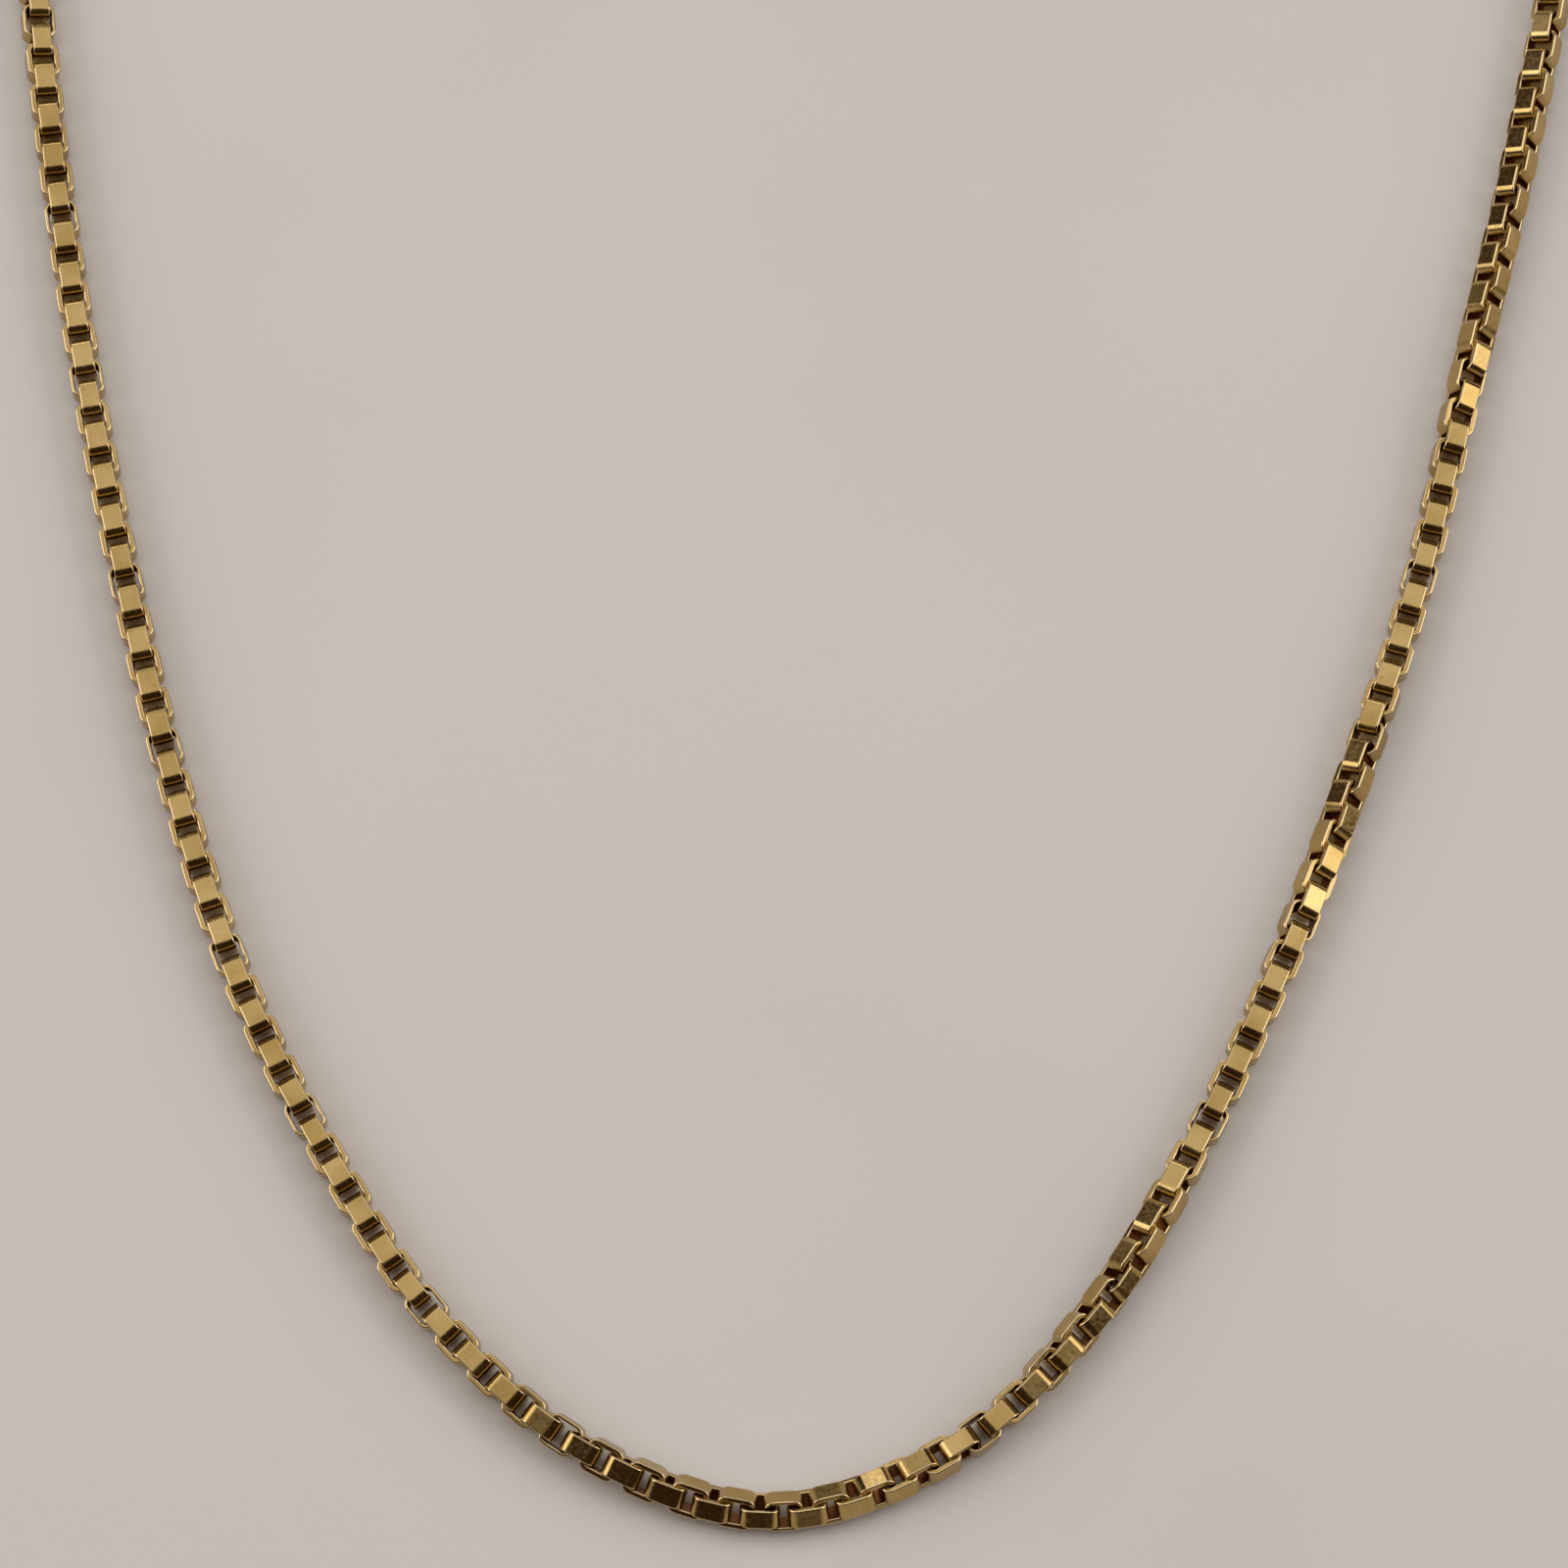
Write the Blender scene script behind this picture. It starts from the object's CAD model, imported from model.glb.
"""The looks of a Venetian box-chain necklace, unfastened and laid flat in a long loop.

Each chain section of the frame is shown by nine open links of bent gold strip. The end caps,
the jump ring, the lobster clasp and the end ring are rebuilt with their true roundings.
Lengths are in metres. S is the length along the chain from the middle of the front.
"""

import bisect
import math
import random

import bmesh
import bpy
from mathutils import Matrix, Vector


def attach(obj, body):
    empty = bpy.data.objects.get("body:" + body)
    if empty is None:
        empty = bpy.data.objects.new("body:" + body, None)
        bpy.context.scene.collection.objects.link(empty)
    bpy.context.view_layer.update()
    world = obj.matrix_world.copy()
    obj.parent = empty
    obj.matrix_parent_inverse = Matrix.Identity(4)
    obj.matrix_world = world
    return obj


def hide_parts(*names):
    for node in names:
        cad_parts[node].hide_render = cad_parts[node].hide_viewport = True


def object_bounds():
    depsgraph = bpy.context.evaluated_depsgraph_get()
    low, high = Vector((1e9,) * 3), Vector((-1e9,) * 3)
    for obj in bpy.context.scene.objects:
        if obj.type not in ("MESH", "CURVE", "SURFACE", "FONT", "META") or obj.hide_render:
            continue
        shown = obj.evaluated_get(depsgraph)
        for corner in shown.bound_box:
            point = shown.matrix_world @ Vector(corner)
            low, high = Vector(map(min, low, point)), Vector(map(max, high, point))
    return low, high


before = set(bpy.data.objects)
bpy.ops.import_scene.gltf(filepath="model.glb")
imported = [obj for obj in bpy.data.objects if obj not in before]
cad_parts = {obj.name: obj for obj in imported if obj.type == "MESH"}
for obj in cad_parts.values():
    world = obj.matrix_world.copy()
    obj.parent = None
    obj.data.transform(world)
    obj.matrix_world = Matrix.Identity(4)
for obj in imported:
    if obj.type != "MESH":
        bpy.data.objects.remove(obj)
CAD_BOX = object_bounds()

MM = 0.001

# --- The links ---------------------------------------------------------------------------
LINK_WIDTH = 1.50 * MM
LINK_LENGTH = 1.72 * MM
STRIP_WIDTH = 0.94 * MM
STRIP_THICKNESS = 0.26 * MM
# The two links that cross at a joint of the frame have a thinner strip, which leaves room to turn.
WORN_WIDTH = 0.88 * MM
WORN_THICKNESS = 0.17 * MM
STRIP_CROWN = 0.008 * MM  # the outer face of the strip swells this much in its middle
BEND_RADIUS = 0.44 * MM  # outside, at the corners of a link
BEND_STEPS = 5
EDGE_RADIUS = 0.070 * MM
EDGE_STEPS = 3
PITCH = 1.014 * MM
LAST_LINK_REACH = 0.83 * MM  # from the middle of the last link to the seat of its cap
SECTIONS = 48
LINKS_PER_SECTION = 9
LINKS = SECTIONS * LINKS_PER_SECTION
SLACK = 0.006 * MM  # how far a link may sit from its even place along the chain
LEAN = math.radians(0.9)  # how far a link may lean from its even place
SEED = 7

# --- The lay of the chain; its curve is the CAD's -------------------------------------------
# The closed curve that the necklace lies on, in mm, clockwise from the middle of the front.
LAY = (
    (-0.6, -33.0),
    (-8.6, -30.3),
    (-15.1, -24.5),
    (-20.0, -17.1),
    (-24.1, -9.0),
    (-27.1, -0.2),
    (-29.5, 9.0),
    (-31.6, 18.5),
    (-33.4, 28.4),
    (-34.9, 38.5),
    (-36.4, 50.0),
    (-38.0, 65.0),
    (-39.3, 82.0),
    (-39.7, 99.5),
    (-38.7, 117.0),
    (-35.0, 133.5),
    (-28.5, 147.5),
    (-19.5, 156.5),
    (-9.5, 160.0),
    (0.5, 160.4),
    (10.5, 160.0),
    (20.5, 156.5),
    (29.8, 147.5),
    (37.0, 133.5),
    (41.2, 117.0),
    (42.6, 99.5),
    (42.2, 82.0),
    (40.7, 65.0),
    (38.5, 50.0),
    (36.1, 38.8),
    (33.7, 28.6),
    (31.1, 18.9),
    (28.6, 9.4),
    (25.5, 0.4),
    (22.0, -8.3),
    (18.1, -16.5),
    (13.4, -24.2),
    (7.3, -30.3),
)
STEPS_PER_SPAN = 40
FRONT_REACH = 0.88 * MM
CLASP_REACH = 3.45 * MM

# How far the chain is rolled about its own length: (S in mm, degrees). From -24 to 3.5 it is up to
# 11 degrees less than in the CAD.
ROLL = (
    (-100.0, 0.0),
    (-86.0, -22.0),
    (-76.0, -3.0),
    (-60.0, 0.0),
    (-24.0, 4.0),
    (-14.0, 9.0),
    (-9.0, 16.0),
    (-6.0, 24.0),
    (-3.0, 40.0),
    (3.5, 54.0),
    (10.0, 90.0),
    (16.0, 122.0),
    (20.5, 141.0),
    (26.0, 178.0),
    (34.0, 184.0),
    (42.0, 222.0),
    (49.5, 268.0),
    (59.5, 272.0),
    (67.0, 314.0),
    (78.0, 326.0),
    (100.0, 360.0),
)

# --- The ends ------------------------------------------------------------------------------
CAP_SIZE = 1.90 * MM
CAP_BORE = 1.66 * MM
CAP_DEPTH = 2.30 * MM
CAP_END = 0.35 * MM
CAP_GAP = 0.06 * MM
CAP_ROUNDING = 0.22 * MM
CAP_SOFT_EDGE = 0.09 * MM  # round the mouth of the bore
BORE_ROUNDING = 0.10 * MM
MOUTH_ROUNDING = 0.12 * MM
CAP_RISE_OVER = 12.0 * MM
EYE_OUTER = 1.20 * MM
EYE_INNER = 0.70 * MM
EYE_THICKNESS = 0.60 * MM
EYE_ROUNDING = 0.16 * MM
EYE_SEAT = 1.00 * MM
JUMP_RING_RADIUS = 1.40 * MM
JUMP_WIRE_RADIUS = 0.22 * MM
EYE_TO_JUMP_RING = 1.25 * MM
END_RING_RADIUS = 2.00 * MM
END_WIRE_RADIUS = 0.30 * MM
END_EYE_OUTER = 0.93 * MM
END_EYE_INNER = 0.55 * MM
END_EYE_THICKNESS = 0.50 * MM
END_EYE_ROUNDING = 0.13 * MM
END_EYE_SEAT = 0.75 * MM
LIFT = 0.02 * MM  # keeps a resting ring just clear of the table

# --- The lobster clasp, measured from the middle of its eye, in its own length ---------------
CLASP_THICKNESS = 1.90 * MM
CLASP_ROUNDING = 0.45 * MM
CLAW_MIDDLE = 5.05 * MM
CLAW_HALF_LENGTH = 4.15 * MM
CLAW_HALF_WIDTH = 2.15 * MM
CLAW_TAPER = 0.18
MOUTH_MIDDLE = 5.80 * MM
MOUTH_HALF_LENGTH = 2.20 * MM
MOUTH_HALF_WIDTH = 1.15 * MM
GATE_START = 3.20 * MM
GATE_END = 6.40 * MM
GATE_INNER = -0.60 * MM
SLOT_START = 1.50 * MM
SLOT_SIDE = 0.60 * MM
SLOT_HEIGHT = 1.00 * MM
LEVER_THICKNESS = 0.86 * MM
LEVER_ROUNDING = 0.14 * MM
PIVOT = (2.50 * MM, -0.75 * MM)
RIVET_RADIUS = 0.30 * MM
RIVET_LENGTH = 1.80 * MM
RIVET_DOME = 0.08 * MM
RIVET_HOLE_RADIUS = 0.34 * MM
SPRING_WIRE_RADIUS = 0.08 * MM
SPRING_START = 1.80 * MM
SPRING_TURN = 3.10 * MM
SPRING_BEND_RADIUS = 0.17 * MM
SPRING_SIDE = 0.25 * MM
CUTTER_DOME = 0.02 * MM
PIN_TIP_RADIUS = 0.02 * MM

# --- The camera ------------------------------------------------------------------------------
CAMERA_TILT = math.radians(19)
CAMERA_TURN = math.radians(-2)
CAMERA_DISTANCE = 0.2449
CAMERA_LENS = 126.0
CAMERA_SENSOR = 36.0

TABLE_HALF = 1.5
TABLE_GAP = 0.01 * MM


# --- The curve of the chain --------------------------------------------------------------------
def spline_point(points, i, u):
    """A point of the closed Catmull-Rom curve through the points, a part u of the way from point i
    to the next."""
    a, b, c, d = (Vector(points[(i + k) % len(points)]) for k in (-1, 0, 1, 2))
    return 0.5 * (
        2 * b + (c - a) * u + (2 * a - 5 * b + 4 * c - d) * u**2 + (3 * b - a - 3 * c + d) * u**3
    )


def measure_curve():
    """The curve's points, their distance from the first, and the middle of the necklace's box."""
    points = [
        spline_point(LAY, i, step / STEPS_PER_SPAN) * MM
        for i in range(len(LAY))
        for step in range(STEPS_PER_SPAN)
    ]
    points.append(points[0].copy())
    low = Vector((min(p.x for p in points), min(p.y for p in points) - FRONT_REACH))
    high = Vector((max(p.x for p in points), max(p.y for p in points) + CLASP_REACH))
    centre = (low + high) / 2
    points = [p - centre for p in points]
    travelled = [0.0]
    for before, after in zip(points, points[1:]):
        travelled.append(travelled[-1] + (after - before).length)
    return points, travelled, centre


def curve_point(s):
    """The point of the curve at S, in plan."""
    from_start = -s % TRAVELLED[-1]
    i = min(bisect.bisect_right(TRAVELLED, from_start), len(TRAVELLED) - 1)
    share = (from_start - TRAVELLED[i - 1]) / (TRAVELLED[i] - TRAVELLED[i - 1])
    return CURVE[i - 1].lerp(CURVE[i], share)


def curve_direction(s):
    """The direction of growing S, in plan."""
    step = 0.4 * MM
    return (curve_point(s + step) - curve_point(s - step)).normalized()


def roll_at(s):
    """The roll of the chain at S, in radians."""
    at = max(ROLL[0][0], min(s / MM, ROLL[-1][0]))
    i = max(1, bisect.bisect_left([step[0] for step in ROLL], at))
    (start, low), (end, high) = ROLL[i - 1], ROLL[i]
    share = (at - start) / (end - start)
    return math.radians(low + (high - low) * share)


def rest_height(s):
    """How high the middle of the chain lies, for its lowest corners to touch the table."""
    roll = abs(roll_at(s)) % (math.pi / 2)
    half, strip = LINK_WIDTH / 2, STRIP_WIDTH / 2
    on_roll = max(
        half * math.cos(roll) + strip * math.sin(roll),
        strip * math.cos(roll) + half * math.sin(roll),
    )
    from_end = CHAIN_END - abs(s)
    climb = max(0.0, 1 - from_end / CAP_RISE_OVER)
    return on_roll + (CAP_SIZE / 2 - on_roll) * climb**2


def chain_place(s, quarter_turns=0):
    """The frame of the chain at S: X along it, Y across it, and Z up before it is rolled."""
    along = curve_direction(s).to_3d()
    across = Vector((0, 0, 1)).cross(along)
    middle = curve_point(s).to_3d() + Vector((0, 0, rest_height(s)))
    upright = Matrix((along, across, Vector((0, 0, 1)))).transposed().to_4x4()
    roll = roll_at(s) + quarter_turns * math.pi / 2
    return Matrix.Translation(middle) @ upright @ Matrix.Rotation(roll, 4, "X")


def link_s(k):
    """S at the middle of link k, counted from the left end."""
    return (k - (LINKS - 1) / 2) * PITCH


def end_place(side):
    """The frame at an end of the chain: X away from the chain, Z up. Side is -1 at the left end."""
    s = side * CHAIN_END
    away = (curve_direction(s) * side).to_3d()
    across = Vector((0, 0, 1)).cross(away)
    upright = Matrix((away, across, Vector((0, 0, 1)))).transposed().to_4x4()
    middle = curve_point(s).to_3d() + Vector((0, 0, CAP_SIZE / 2))
    return Matrix.Translation(middle) @ upright


CURVE, TRAVELLED, CENTRE = measure_curve()
CHAIN_END = link_s(LINKS - 1) + LAST_LINK_REACH


# --- The camera, the floor and the lights --------------------------------------------------------
def make_camera():
    """A long lens close above the front of the necklace, tilted a little from straight down."""
    data = bpy.data.cameras.new("camera")
    data.lens = CAMERA_LENS
    data.sensor_width = CAMERA_SENSOR
    data.clip_start = 0.01
    camera = bpy.data.objects.new("camera", data)
    bpy.context.scene.collection.objects.link(camera)
    turn = Matrix.Rotation(CAMERA_TURN, 4, "Z")
    look = turn @ Matrix.Rotation(CAMERA_TILT, 4, "X") @ turn.inverted()
    back = look @ Vector((0, 0, CAMERA_DISTANCE))
    camera.matrix_world = Matrix.Translation(-CENTRE.to_3d() + back) @ look
    bpy.context.scene.camera = camera


def softbox(name, place, target, width, depth, radiance, colour):
    """A rectangular area light of the given radiance, facing the target."""
    data = bpy.data.lights.new(name, "AREA")
    data.shape = "RECTANGLE"
    data.size = width
    data.size_y = depth
    data.energy = radiance * math.pi * width * depth
    data.color = colour
    light = bpy.data.objects.new(name, data)
    bpy.context.scene.collection.objects.link(light)
    facing = (Vector(target) - Vector(place)).to_track_quat("-Z", "Y")
    light.matrix_world = Matrix.Translation(place) @ facing.to_matrix().to_4x4()


def make_lights():
    softbox("window", (-0.12, 0.80, 0.42), (0, 0, 0), 0.36, 0.36, 1.8, (1.0, 0.985, 0.965))
    softbox("ceiling", (0.0, 0.33, 0.85), (0, 0.33, 0), 1.80, 1.04, 0.90, (1.0, 0.99, 0.985))
    softbox("left", (-0.80, 0.02, 0.46), (0, 0, 0), 0.70, 0.60, 2.2, (1.0, 0.98, 0.96))
    softbox("right", (0.80, 0.02, 0.46), (0, 0, 0), 0.70, 0.60, 2.2, (1.0, 0.98, 0.96))
    world = bpy.data.worlds.new("studio")
    bpy.context.scene.world = world
    world.use_nodes = True
    shade = world.node_tree.nodes["Background"]
    shade.inputs["Color"].default_value = (1.0, 0.55, 0.36, 1.0)
    shade.inputs["Strength"].default_value = 0.035
    bpy.context.scene.view_settings.view_transform = "Standard"


# --- Materials -------------------------------------------------------------------------------
def colour(r, g, b):
    return (r, g, b, 1.0)


class Nodes:
    """Short calls to build one material's nodes."""

    def __init__(self, name):
        self.material = bpy.data.materials.new(name)
        self.material.use_nodes = True
        self.tree = self.material.node_tree
        self.shader = self.tree.nodes["Principled BSDF"]

    def add(self, kind, settings=None, **inputs):
        """A node. An input is a value, or the output of another node."""
        node = self.tree.nodes.new(kind)
        for key, value in (settings or {}).items():
            setattr(node, key, value)
        for key, value in inputs.items():
            self.set(node, key.replace("_", " "), value)
        return node

    def set(self, node, key, value):
        socket = node.inputs[int(key) if key.isdigit() else key]
        if isinstance(value, bpy.types.NodeSocket):
            self.tree.links.new(value, socket)
        else:
            socket.default_value = value

    def place(self):
        return self.add("ShaderNodeTexCoord").outputs["Object"]

    def noise(self, size, detail=3.0, rough=0.5, at=None):
        """Noise whose features are about the given size."""
        return self.add(
            "ShaderNodeTexNoise",
            Vector=at or self.place(),
            Scale=1.0 / size,
            Detail=detail,
            Roughness=rough,
        ).outputs["Fac"]

    def ramp(self, value, low, high, start=0.0, end=1.0):
        """The value from low to high, spread from start to end and held there."""
        return self.add(
            "ShaderNodeMapRange",
            Value=value,
            From_Min=low,
            From_Max=high,
            To_Min=start,
            To_Max=end,
        ).outputs["Result"]

    def mix(self, share, a, b):
        """The colour a share of the way from a to b."""
        node = self.add("ShaderNodeMix", {"data_type": "RGBA"})
        self.tree.links.new(share, node.inputs[0])
        self.set(node, "6", a)
        self.set(node, "7", b)
        return node.outputs[2]

    def maths(self, operation, a, b):
        node = self.add("ShaderNodeMath", {"operation": operation})
        self.set(node, "0", a)
        self.set(node, "1", b)
        return node.outputs[0]

    def attribute(self, name):
        return self.add("ShaderNodeAttribute", {"attribute_name": name}).outputs["Fac"]

    def bump(self, height, distance, normal=None):
        node = self.add("ShaderNodeBump", Height=height, Distance=distance, Strength=1.0)
        if normal:
            self.set(node, "Normal", normal)
        return node.outputs["Normal"]


def gold(name, fresh, deep, roughness, tarnish, scratch_depth):
    """Worn yellow gold: uneven colour, satin scratches, small dents, and brown in the recesses."""
    n = Nodes(name)
    drift = n.noise(2.6 * MM, 3.0)
    grain = n.noise(0.16 * MM, 4.0, 0.6)
    wear = n.mix(n.ramp(drift, 0.35, 0.65), fresh, deep)
    spots = n.ramp(n.noise(0.20 * MM, 4.0, 0.65), 0.60, 0.70, 0.0, tarnish)
    patches = n.ramp(n.noise(7.0 * MM, 2.0), 0.42, 0.62)
    wear = n.mix(n.maths("MULTIPLY", spots, patches), wear, colour(0.36, 0.13, 0.03))
    recess = n.attribute("recess")
    wear = n.mix(n.maths("MULTIPLY", recess, 0.90), wear, colour(0.20, 0.058, 0.015))
    rim = n.attribute("rim")
    wear = n.mix(n.maths("MULTIPLY", rim, 0.45), wear, colour(0.98, 0.79, 0.46))
    n.set(n.shader, "Base Color", wear)
    n.set(n.shader, "Metallic", 1.0)

    rough = n.ramp(grain, 0.3, 0.7, roughness - 0.06, roughness + 0.09)
    rough = n.maths("ADD", rough, n.maths("MULTIPLY", recess, 0.12))
    rough = n.maths("SUBTRACT", rough, n.maths("MULTIPLY", rim, 0.08))
    n.set(n.shader, "Roughness", rough)

    strokes = n.add("ShaderNodeMapping", Vector=n.place(), Scale=(1.0, 0.16, 1.0))
    scratches = n.noise(0.045 * MM, 2.0, 0.5, strokes.outputs["Vector"])
    dents = n.noise(0.38 * MM, 2.0, 0.4)
    normal = n.bump(dents, 0.004 * MM)
    n.set(n.shader, "Normal", n.bump(scratches, scratch_depth, normal))
    return n.material


def spring_steel():
    """Drawn steel wire and turned rivet: grey, with fine lines and a little oil-brown."""
    n = Nodes("drawn_steel")
    drift = n.noise(0.6 * MM, 3.0)
    n.set(n.shader, "Base Color", n.mix(drift, colour(0.60, 0.58, 0.55), colour(0.46, 0.42, 0.37)))
    n.set(n.shader, "Metallic", 1.0)
    n.set(n.shader, "Roughness", n.ramp(n.noise(0.10 * MM), 0.3, 0.7, 0.22, 0.38))
    n.set(n.shader, "Normal", n.bump(n.noise(0.05 * MM), 0.0015 * MM))
    return n.material


def pale_table():
    """A plain pale surface with a very faint unevenness."""
    n = Nodes("pale_table")
    cloud = n.ramp(n.noise(45 * MM, 3.0, 0.5), 0.40, 0.75)
    base = n.mix(cloud, colour(0.830, 0.782, 0.738), colour(0.785, 0.750, 0.715))
    n.set(n.shader, "Base Color", base)
    n.set(n.shader, "Roughness", n.ramp(n.noise(3.0 * MM), 0.3, 0.7, 0.62, 0.74))
    n.set(n.shader, "Specular IOR Level", 0.25)
    n.set(n.shader, "Normal", n.bump(n.noise(0.5 * MM), 0.006 * MM))
    return n.material


# --- Meshes ------------------------------------------------------------------------------------
def link_section(width, thickness):
    """The cut through a strip: its points as (depth in from the outer face, place across), the
    direction outward at each, and what each side is."""
    half = width / 2
    corners = (
        (EDGE_RADIUS, -half + EDGE_RADIUS, math.pi),
        (thickness - EDGE_RADIUS, -half + EDGE_RADIUS, math.pi * 1.5),
        (thickness - EDGE_RADIUS, half - EDGE_RADIUS, 0.0),
        (EDGE_RADIUS, half - EDGE_RADIUS, math.pi / 2),
    )
    points, outward, sides = [], [], []
    after = ("edge", "inner", "edge", "outer")
    for (depth, across, start), side in zip(corners, after):
        for step in range(EDGE_STEPS + 1):
            turn = start + math.pi / 2 * step / EDGE_STEPS
            out = (math.cos(turn), math.sin(turn))
            points.append((depth + EDGE_RADIUS * out[0], across + EDGE_RADIUS * out[1]))
            outward.append(out)
            sides.append("rim" if step < EDGE_STEPS else side)
    points.append((-STRIP_CROWN, 0.0))
    outward.append((-1.0, 0.0))
    sides.append("outer")
    return points, outward, sides


def link_path():
    """The outer line of a link, as (point, outward direction), round its four bends."""
    x, y = LINK_LENGTH / 2 - BEND_RADIUS, LINK_WIDTH / 2 - BEND_RADIUS
    path = []
    for quarter, (cx, cy) in enumerate(((x, y), (-x, y), (-x, -y), (x, -y))):
        for step in range(BEND_STEPS + 1):
            turn = math.pi / 2 * (quarter + step / BEND_STEPS)
            out = Vector((math.cos(turn), math.sin(turn)))
            path.append((Vector((cx, cy)) + out * BEND_RADIUS, out))
    return path


def link_template(width, thickness):
    """One link's points and their normals, its faces, and the marks of each face."""
    section, outward, sides = link_section(width, thickness)
    path = link_path()
    points = [
        Vector((*(p - out * depth), across)) for p, out in path for depth, across in section
    ]
    normals = [Vector((*(-out * depth), across)) for p, out in path for depth, across in outward]
    faces, rims, recesses = [], [], []
    across = len(section)
    for i in range(len(path)):
        for j in range(across):
            after, beside = (i + 1) % len(path), (j + 1) % across
            faces.append(
                (i * across + j, i * across + beside, after * across + beside, after * across + j)
            )
            rims.append(1.0 if sides[j] == "rim" else 0.0)
            recesses.append({"inner": 1.0, "edge": 0.15}.get(sides[j], 0.0))
    return points, normals, faces, rims, recesses


def mark_faces(mesh, name, values):
    layer = mesh.attributes.new(name, "FLOAT", "FACE")
    layer.data.foreach_set("value", values)


def link_place(k, dice):
    """Where link k lies: its even place, and a little slack of its own."""
    place = chain_place(link_s(k) + dice.uniform(-SLACK, SLACK), k % 2)
    for axis in "XYZ":
        place = place @ Matrix.Rotation(dice.uniform(-LEAN, LEAN), 4, axis)
    return place


def show(name, mesh, material, body, replaced=(), even=True):
    """Adds a piece that rides on a body, and stands for the CAD nodes named. A mesh that has its
    own normals isn't evened."""
    mesh.name = name
    mesh.materials.clear()
    mesh.materials.append(material)
    piece = bpy.data.objects.new(name, mesh)
    bpy.context.scene.collection.objects.link(piece)
    if even:
        mesh.shade_smooth()
        piece.modifiers.new("even shading", "WEIGHTED_NORMAL").weight = 80
    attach(piece, body)
    if replaced:
        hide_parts(*replaced)
    return piece


def make_links(material):
    """Nine true links for each section of the chain."""
    dice = random.Random(SEED)
    whole = link_template(STRIP_WIDTH, STRIP_THICKNESS)
    worn = link_template(WORN_WIDTH, WORN_THICKNESS)
    _, _, faces, rims, recesses = whole
    for section in range(SECTIONS):
        points, normals, quads = [], [], []
        for k in range(section * LINKS_PER_SECTION, (section + 1) * LINKS_PER_SECTION):
            place, first = link_place(k, dice), len(points)
            at_joint = k % LINKS_PER_SECTION in (0, LINKS_PER_SECTION - 1)
            template, directions = (worn if at_joint else whole)[:2]
            points += [place @ p for p in template]
            normals += [place.to_3x3() @ d for d in directions]
            quads += [tuple(first + corner for corner in face) for face in faces]
        mesh = bpy.data.meshes.new("links")
        mesh.from_pydata(points, [], quads)
        mark_faces(mesh, "rim", rims * LINKS_PER_SECTION)
        mark_faces(mesh, "recess", recesses * LINKS_PER_SECTION)
        mesh.normals_split_custom_set_from_vertices(normals)
        node = f"chain_section_{section + 1:02d}"
        show(f"links_{section + 1:02d}", mesh, material, node, [node], even=False)


def circle(radius, sides, centre=(0.0, 0.0)):
    """Points round a circle."""
    turns = [2 * math.pi * i / sides for i in range(sides)]
    return [(centre[0] + radius * math.cos(a), centre[1] + radius * math.sin(a)) for a in turns]


def egg(middle, half_length, half_width, taper, sides):
    """An oval whose far end is blunter than its near end."""
    turns = [2 * math.pi * i / sides for i in range(sides)]
    return [
        (middle + half_length * math.cos(a), half_width * math.sin(a) * (1 + taper * math.cos(a)))
        for a in turns
    ]


def smooth_outline(points, steps):
    """A closed smooth line through the points."""
    return [
        tuple(spline_point(points, i, step / steps))
        for i in range(len(points))
        for step in range(steps)
    ]


def loft(rings, closed=False):
    """A surface through rings of points, with its ends filled unless it closes on itself."""
    made = bmesh.new()
    rows = [[made.verts.new(p) for p in ring] for ring in rings]
    across = len(rows[0])
    for i in range(len(rows) if closed else len(rows) - 1):
        a, b = rows[i], rows[(i + 1) % len(rows)]
        for j in range(across):
            made.faces.new((a[j], a[(j + 1) % across], b[(j + 1) % across], b[j]))
    if not closed:
        made.faces.new(reversed(rows[0]))
        made.faces.new(rows[-1])
    bmesh.ops.recalc_face_normals(made, faces=made.faces)
    if made.calc_volume(signed=True) < 0:
        bmesh.ops.reverse_faces(made, faces=made.faces)
    mesh = bpy.data.meshes.new("loft")
    made.to_mesh(mesh)
    made.free()
    return mesh


def ring_of_wire(radius, wire, around=72, sides=20):
    """A ring of round wire about Z."""
    rings = []
    for i in range(around):
        turn = 2 * math.pi * i / around
        out = Vector((math.cos(turn), math.sin(turn), 0))
        ring = [
            out * (radius + wire * math.cos(a)) + Vector((0, 0, wire * math.sin(a)))
            for a in (2 * math.pi * j / sides for j in range(sides))
        ]
        rings.append(ring)
    return loft(rings, closed=True)


def washer(outer, inner, thickness, rounding, around=64):
    """A flat eye about Z with rounded edges."""
    half = thickness / 2 - rounding
    section = []
    for r, z, start in (
        (outer - rounding, half, 0.0),
        (inner + rounding, half, math.pi / 2),
        (inner + rounding, -half, math.pi),
        (outer - rounding, -half, math.pi * 1.5),
    ):
        for step in range(5):
            turn = start + math.pi / 2 * step / 4
            section.append((r + rounding * math.cos(turn), z + rounding * math.sin(turn)))
    rings = [
        [Vector((r * math.cos(a), r * math.sin(a), z)) for r, z in section]
        for a in (2 * math.pi * i / around for i in range(around))
    ]
    return loft(rings, closed=True)


def rounded_square(half, rounding, steps=6):
    """A square with rounded corners, as (y, z)."""
    points = []
    for quarter in range(4):
        middle = Matrix.Rotation(math.pi / 2 * quarter, 2) @ Vector((half - rounding,) * 2)
        for step in range(steps + 1):
            turn = math.pi / 2 * (quarter + step / steps)
            points.append(middle + Vector((math.cos(turn), math.sin(turn))) * rounding)
    return points


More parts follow.
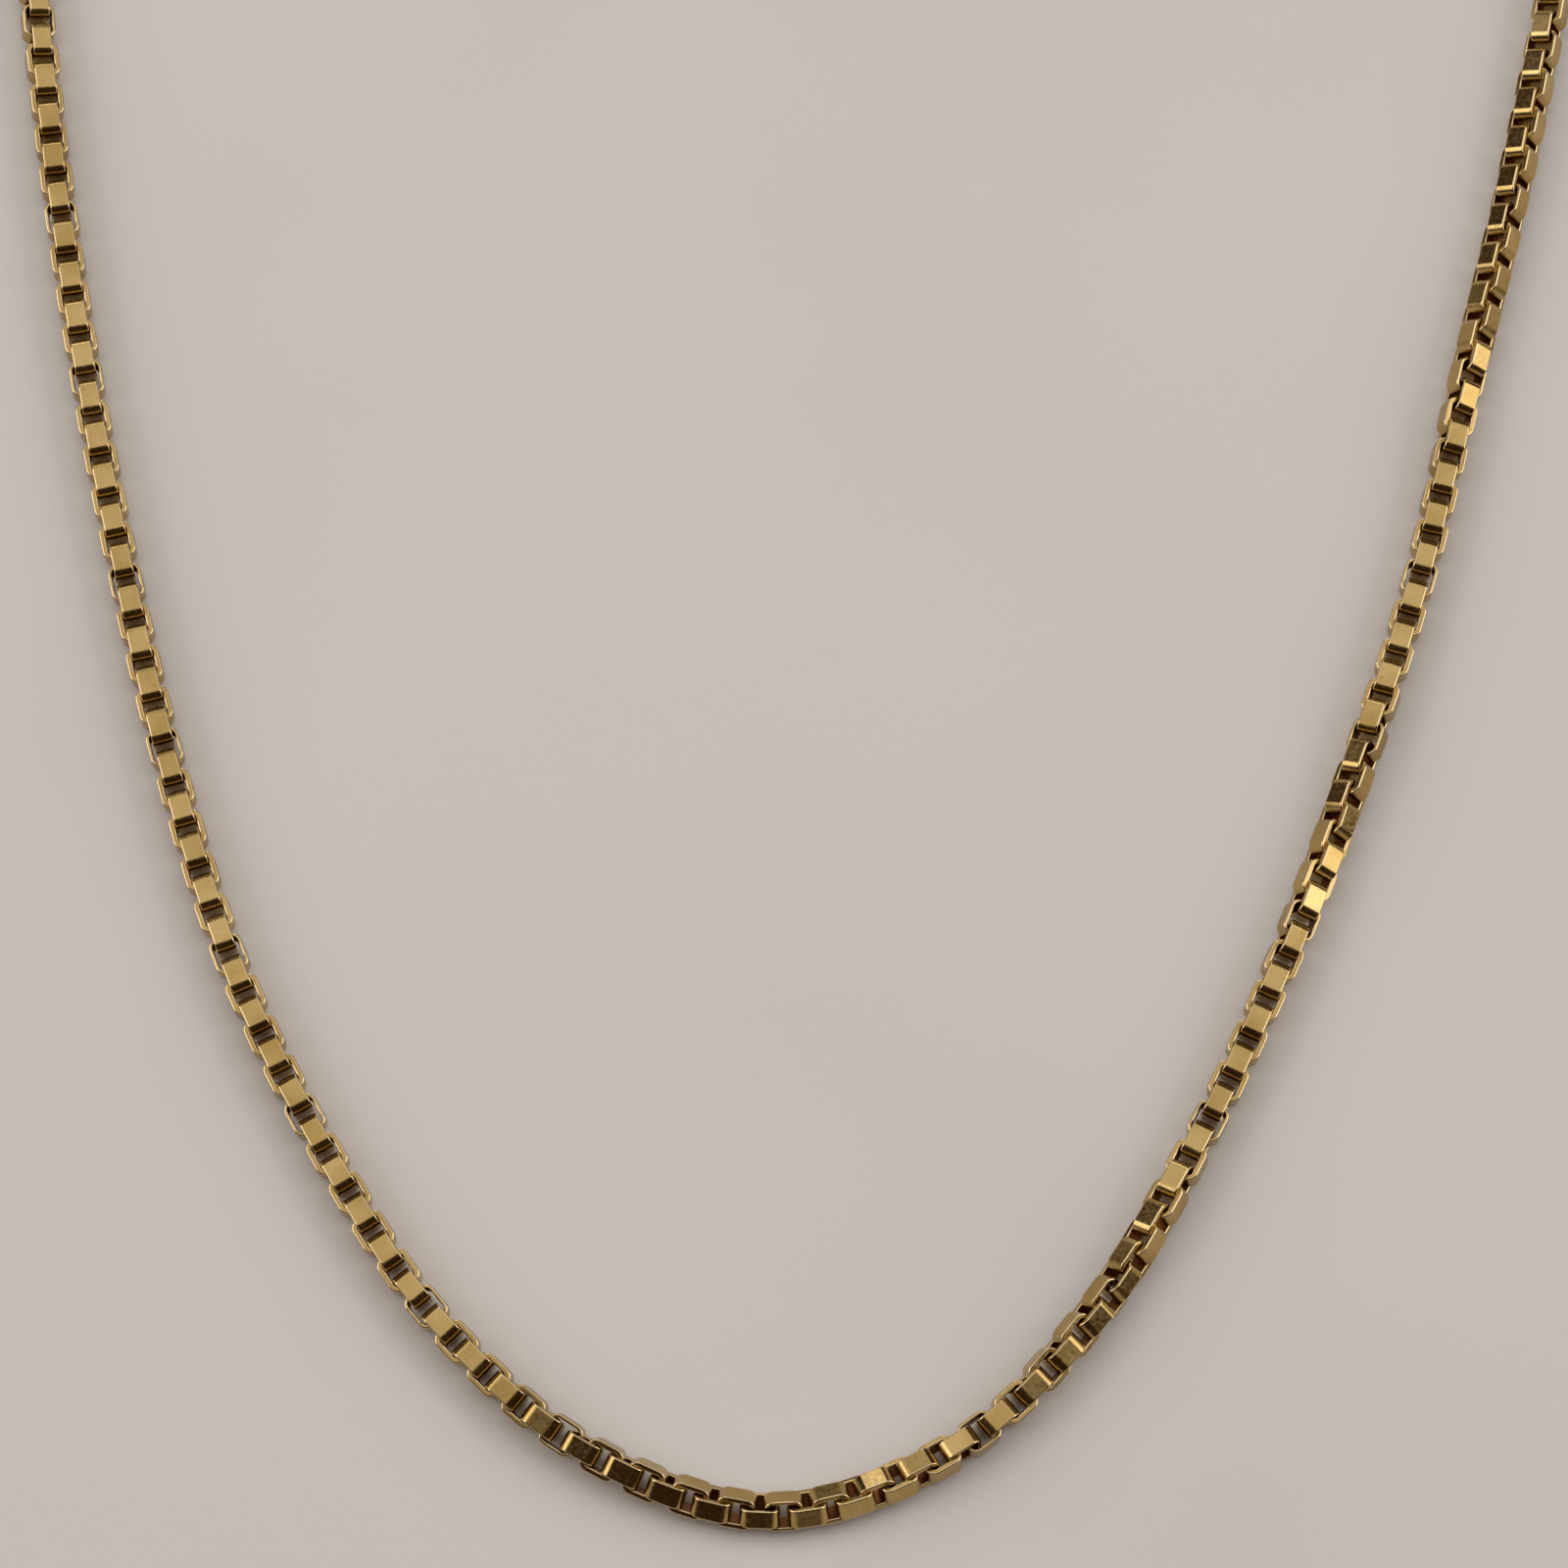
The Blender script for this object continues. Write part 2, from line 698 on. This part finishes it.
def cap_mesh():
    """A square cap, bored for the chain, with rounded corners and softened edges. Its axis is X."""
    half, bore = CAP_SIZE / 2, CAP_BORE / 2
    face = CAP_GAP + CAP_END
    lip = CAP_GAP - CAP_DEPTH
    soft = CAP_SOFT_EDGE
    rings = [
        (CAP_GAP, bore, BORE_ROUNDING),
        (lip + soft, bore, BORE_ROUNDING),
        (lip, bore + soft * 0.6, MOUTH_ROUNDING),
    ]
    for step in range(1, 4):
        turn = math.pi / 2 * step / 3
        x = lip + soft * (1 - math.cos(turn))
        rings.append((x, half - soft * (1 - math.sin(turn)), CAP_ROUNDING))
    for step in range(5):
        turn = math.pi / 2 * step / 4
        inset = CAP_ROUNDING * (1 - math.cos(turn))
        rings.append((face - CAP_ROUNDING * (1 - math.sin(turn)), half - inset, CAP_ROUNDING))
    rings.append((face, half - 2 * CAP_ROUNDING, CAP_ROUNDING))
    return loft([[Vector((x, *p)) for p in rounded_square(size, r)] for x, size, r in rings])


def joined(meshes):
    """One mesh of several."""
    made = bmesh.new()
    for mesh in meshes:
        made.from_mesh(mesh)
    mesh = bpy.data.meshes.new("joined")
    made.to_mesh(mesh)
    made.free()
    return mesh


def moved(mesh, matrix):
    mesh.transform(matrix)
    return mesh


def plate(outlines, thickness, rounding, steps=4):
    """A flat plate about Z = 0 with rounded edges. Its first outline is its edge, the rest holes."""
    curve = bpy.data.curves.new("plate", "CURVE")
    curve.dimensions = "2D"
    curve.fill_mode = "BOTH"
    curve.extrude = (thickness / 2 - rounding) / MM
    curve.bevel_depth = rounding / MM
    curve.bevel_resolution = steps
    curve.offset = -rounding / MM
    for i, outline in enumerate(outlines):
        points = outline if i == 0 else list(reversed(outline))
        spline = curve.splines.new("POLY")
        spline.points.add(len(points) - 1)
        for made, (x, y) in zip(spline.points, points):
            made.co = (x / MM, y / MM, 0.0, 1.0)
        spline.use_cyclic_u = True
    return mesh_of_curve(curve)


def wire(points, radius):
    """A round wire through the points, with its ends closed."""
    curve = bpy.data.curves.new("wire", "CURVE")
    curve.dimensions = "3D"
    curve.bevel_depth = radius / MM
    curve.bevel_resolution = 4
    curve.use_fill_caps = True
    spline = curve.splines.new("POLY")
    spline.points.add(len(points) - 1)
    for made, point in zip(spline.points, points):
        made.co = (*(Vector(point) / MM), 1.0)
    return mesh_of_curve(curve)


def mesh_of_curve(curve):
    """The mesh of a curve drawn in millimetres, in metres, with its seams welded."""
    holder = bpy.data.objects.new("curve_to_mesh", curve)
    bpy.context.scene.collection.objects.link(holder)
    graph = bpy.context.evaluated_depsgraph_get()
    mesh = bpy.data.meshes.new_from_object(holder.evaluated_get(graph))
    bpy.data.objects.remove(holder, do_unlink=True)
    welded = bmesh.new()
    welded.from_mesh(mesh)
    bmesh.ops.remove_doubles(welded, verts=welded.verts, dist=1e-4)
    bmesh.ops.recalc_face_normals(welded, faces=welded.faces)
    if welded.calc_volume(signed=True) < 0:
        bmesh.ops.reverse_faces(welded, faces=welded.faces)
    bmesh.ops.scale(welded, vec=(MM, MM, MM), verts=welded.verts)
    welded.to_mesh(mesh)
    welded.free()
    return mesh


def box_mesh(low, high):
    """A box between two corners."""
    made = bmesh.new()
    size = Vector(high) - Vector(low)
    matrix = Matrix.Translation((Vector(high) + Vector(low)) / 2) @ Matrix.Diagonal((*size, 1.0))
    bmesh.ops.create_cube(made, size=1.0, matrix=matrix)
    mesh = bpy.data.meshes.new("box")
    made.to_mesh(mesh)
    made.free()
    return mesh


def pin_mesh(radius, length, dome, sides=40):
    """A pin about Z with softly domed ends."""
    levels = []
    for side in (-1, 1):
        for step in range(5)[::side]:
            turn = math.pi / 2 * step / 4
            z = side * (length / 2 - dome * (1 - math.cos(turn)))
            levels.append((z, radius - dome * (1 - math.cos(math.pi / 2 - turn))))
    rings = [
        [Vector((x, y, z)) for x, y in circle(max(r, PIN_TIP_RADIUS), sides)] for z, r in levels
    ]
    return loft(rings)


def cut(mesh, cutters, operation="DIFFERENCE"):
    """The mesh with each cutter taken from it, or added to it."""
    holder = bpy.data.objects.new("cut", mesh)
    bpy.context.scene.collection.objects.link(holder)
    helpers = []
    for cutter in cutters:
        helper = bpy.data.objects.new("cutter", cutter)
        bpy.context.scene.collection.objects.link(helper)
        modifier = holder.modifiers.new("cut", "BOOLEAN")
        modifier.operation = operation
        modifier.solver = "MANIFOLD"
        modifier.object = helper
        helpers.append(helper)
    graph = bpy.context.evaluated_depsgraph_get()
    made = bpy.data.meshes.new_from_object(holder.evaluated_get(graph))
    for used in [holder, *helpers]:
        bpy.data.objects.remove(used, do_unlink=True)
    return made


# --- The ends --------------------------------------------------------------------------------
def make_clasp_end(chain_finish, clasp_finish, steel):
    """The left end: a cap, a jump ring standing through its eye, and the clasp on the ring."""
    place = end_place(-1)
    eye_x = CAP_GAP + CAP_END + EYE_SEAT
    at_eye = Matrix.Translation((eye_x, 0, 0))
    eye = moved(washer(EYE_OUTER, EYE_INNER, EYE_THICKNESS, EYE_ROUNDING), at_eye)
    cap = moved(joined([cap_mesh(), eye]), place)
    covered = ["end_cap_clasp_side"]
    show("cap_clasp_side", cap, chain_finish, "chain_section_01", covered)

    drop = JUMP_RING_RADIUS + JUMP_WIRE_RADIUS + LIFT - CAP_SIZE / 2
    upright = Matrix.Translation((EYE_TO_JUMP_RING, 0, drop)) @ Matrix.Rotation(math.pi / 2, 4, "X")
    jump_place = place @ at_eye
    ring = moved(ring_of_wire(JUMP_RING_RADIUS, JUMP_WIRE_RADIUS), jump_place @ upright)
    show("jump_ring", ring, clasp_finish, "clasp_jump_ring", ["clasp_jump_ring"])

    clasp_place = jump_place @ Matrix.Translation((2 * EYE_TO_JUMP_RING, 0, 0))
    pivot_place = clasp_place @ Matrix.Translation((*PIVOT, 0))
    claw = moved(claw_mesh(), clasp_place)
    show("clasp_claw", claw, clasp_finish, "clasp_body", ["clasp_body"])
    lever = moved(lever_mesh(), pivot_place)
    show("clasp_thumb_lever", lever, clasp_finish, "clasp_lever", ["clasp_lever"])
    rivet = moved(pin_mesh(RIVET_RADIUS, RIVET_LENGTH, RIVET_DOME), pivot_place)
    show("rivet", rivet, steel, "clasp_body", ["clasp_rivet"])
    spring = moved(spring_mesh(), clasp_place)
    show("hairpin_spring", spring, steel, "clasp_body", ["clasp_spring"])


def claw_mesh():
    """The claw: a thick rounded oval with its mouth, gate, lever slot and eye."""
    outline = egg(CLAW_MIDDLE, CLAW_HALF_LENGTH, CLAW_HALF_WIDTH, CLAW_TAPER, 96)
    mouth = egg(MOUTH_MIDDLE, MOUTH_HALF_LENGTH, MOUTH_HALF_WIDTH, 0.0, 72)
    claw = plate([outline, mouth], CLASP_THICKNESS, CLASP_ROUNDING, 5)
    eye = washer(EYE_OUTER, EYE_INNER, EYE_THICKNESS, EYE_ROUNDING)
    claw = cut(claw, [eye], "UNION")
    far = 2 * CLAW_HALF_WIDTH
    gate = box_mesh((GATE_START, -far, -far), (GATE_END, GATE_INNER, far))
    slot_end = GATE_START + 1.0 * MM
    slot = box_mesh((SLOT_START, -far, -SLOT_HEIGHT / 2), (slot_end, SLOT_SIDE, SLOT_HEIGHT / 2))
    bore = pin_mesh(RIVET_HOLE_RADIUS, 2 * CLASP_THICKNESS, CUTTER_DOME)
    bore = moved(bore, Matrix.Translation((*PIVOT, 0)))
    hole = pin_mesh(EYE_INNER, 2 * CLASP_THICKNESS, CUTTER_DOME, 64)
    return cut(claw, [gate, slot, bore, hole])


def lever_mesh():
    """The lever that shuts the gate, drawn from its own pivot, with a thumb tab behind it."""
    outline = (
        (0.40, -0.87),
        (1.50, -1.21),
        (2.70, -1.31),
        (3.62, -1.23),
        (3.81, -0.63),
        (2.70, -0.67),
        (1.50, -0.50),
        (0.70, -0.15),
        (0.50, 0.40),
        (0.00, 0.65),
        (-0.50, 0.40),
        (-0.65, -0.15),
        (-0.60, -0.75),
        (-1.25, -1.45),
        (-1.20, -1.75),
        (-0.75, -1.85),
    )
    edge = smooth_outline([(x * MM, y * MM) for x, y in outline], 4)
    return plate([edge, circle(RIVET_HOLE_RADIUS, 40)], LEVER_THICKNESS, LEVER_ROUNDING)


def spring_mesh():
    """The hairpin spring in the slot, behind the lever."""
    bend = SPRING_BEND_RADIUS
    points = [(SPRING_START, SPRING_SIDE - bend, 0.0)]
    for step in range(13):
        turn = -math.pi / 2 + math.pi * step / 12
        x = SPRING_TURN + bend * math.cos(turn)
        points.append((x, SPRING_SIDE + bend * math.sin(turn), 0.0))
    points.append((SPRING_START, SPRING_SIDE + bend, 0.0))
    return wire(points, SPRING_WIRE_RADIUS)


def make_ring_end(chain_finish, clasp_finish):
    """The right end: a cap with an upright eye, and the ring that leans from it to the table."""
    place = end_place(1)
    eye_x = CAP_GAP + CAP_END + END_EYE_SEAT
    upright = Matrix.Translation((eye_x, 0, 0)) @ Matrix.Rotation(math.pi / 2, 4, "X")
    eye = washer(END_EYE_OUTER, END_EYE_INNER, END_EYE_THICKNESS, END_EYE_ROUNDING)
    eye = moved(eye, upright)
    cap = moved(joined([cap_mesh(), eye]), place)
    covered = ["end_cap_ring_side"]
    show("cap_ring_side", cap, chain_finish, "chain_section_48", covered)
    fall = CAP_SIZE / 2 - END_WIRE_RADIUS - LIFT
    lean = math.asin(fall / (2 * END_RING_RADIUS))
    tilted = Matrix.Rotation(lean, 4, "Y") @ Matrix.Translation((END_RING_RADIUS, 0, 0))
    ring_place = place @ Matrix.Translation((eye_x, 0, 0)) @ tilted
    ring = moved(ring_of_wire(END_RING_RADIUS, END_WIRE_RADIUS, 96, 24), ring_place)
    show("ring", ring, clasp_finish, "end_ring", ["end_ring"])


def make_floor():
    mesh = bpy.data.meshes.new("table")
    half = TABLE_HALF
    mesh.from_pydata(
        [(-half, -half, 0), (half, -half, 0), (half, half, 0), (-half, half, 0)], [], [(0, 1, 2, 3)]
    )
    mesh.materials.append(pale_table())
    floor = bpy.data.objects.new("table", mesh)
    bpy.context.scene.collection.objects.link(floor)
    floor.location.z = CAD_BOX[0][2] - TABLE_GAP


make_camera()
make_lights()
make_floor()
chain_gold = gold(
    "worn_gold", colour(0.56, 0.39, 0.155), colour(0.42, 0.28, 0.090), 0.21, 0.75, 0.0010 * MM
)
clasp_gold = gold(
    "polished_gold", colour(0.90, 0.70, 0.36), colour(0.84, 0.63, 0.29), 0.17, 0.25, 0.0008 * MM
)
make_links(chain_gold)
steel = spring_steel()
make_clasp_end(chain_gold, clasp_gold, steel)
make_ring_end(chain_gold, clasp_gold)
